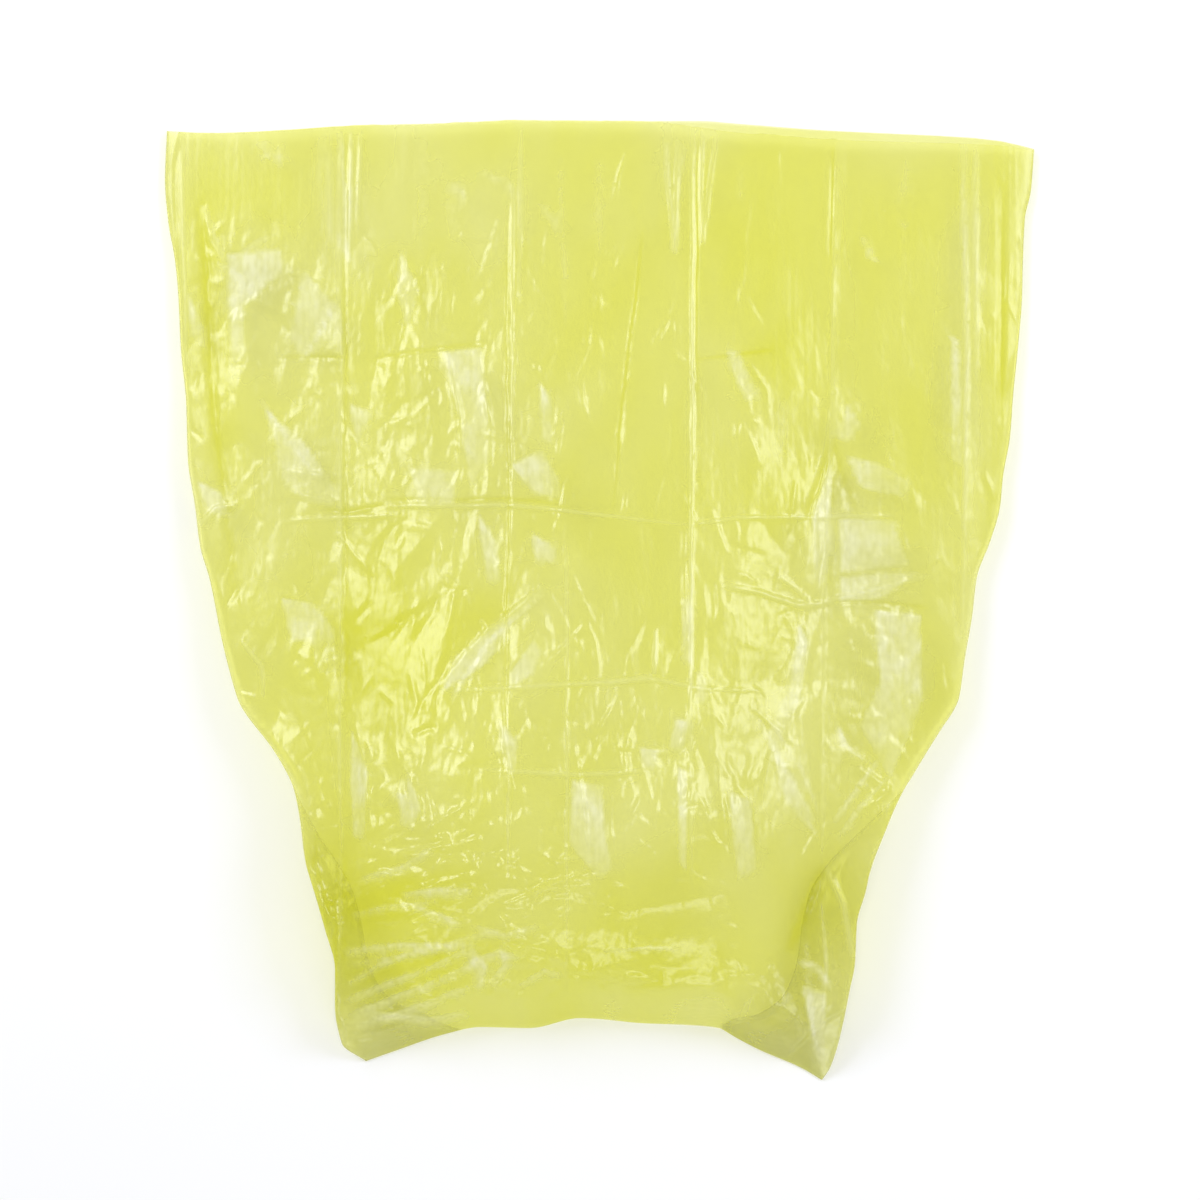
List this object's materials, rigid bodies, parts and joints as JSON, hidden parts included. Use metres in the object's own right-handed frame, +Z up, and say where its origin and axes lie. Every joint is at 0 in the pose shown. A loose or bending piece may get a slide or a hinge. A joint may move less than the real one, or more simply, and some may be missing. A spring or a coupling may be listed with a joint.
{
  "type": "side-gusseted trash can liner",
  "caption": "Translucent yellow-green film bag with side gussets, sealed across its bottom and open at its mouth, lying on its back with some air in it.",
  "frame": {"origin": "centre of the footprint, on the floor that the liner lies on", "axes": "+Z up through the front panel, +Y from the sealed bottom towards the open mouth, +X to the right with the mouth away"},
  "size_m": [0.508, 0.5562, 0.0799],
  "materials": {
    "film": "glossy, translucent, crumpled"
  },
  "bodies": {
    "root": {"liner_film": "film"}
  },
  "joints": []
}
